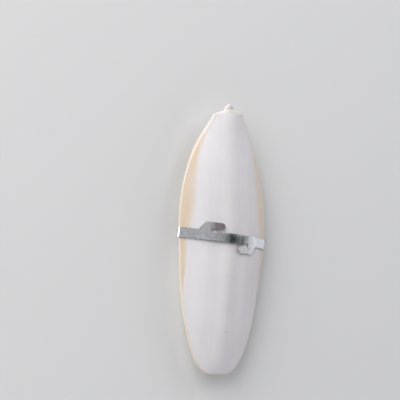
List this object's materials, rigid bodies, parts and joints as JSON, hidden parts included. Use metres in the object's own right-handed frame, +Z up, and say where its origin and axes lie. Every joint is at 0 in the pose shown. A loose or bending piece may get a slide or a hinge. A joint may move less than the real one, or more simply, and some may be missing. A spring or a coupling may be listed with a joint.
{
  "type": "cuttlebone with holder clip",
  "caption": "Long oval cuttlebone with a hard domed back and soft belly, held by a sheet-steel strap whose forked ends hook on cage wires.",
  "frame": {"origin": "middle of the footprint, on the surface that the belly and the strap rest on", "axes": "+Y along the bone to its narrow rear tip, +Z up out of the hard back, +X across the bone"},
  "size_m": [0.078, 0.19, 0.0241],
  "materials": {
    "bone_chalk": "matte",
    "galvanised_sheet": "satin"
  },
  "bodies": {
    "root": {"cuttlebone": "bone_chalk", "holder_clip": "galvanised_sheet"}
  },
  "joints": []
}
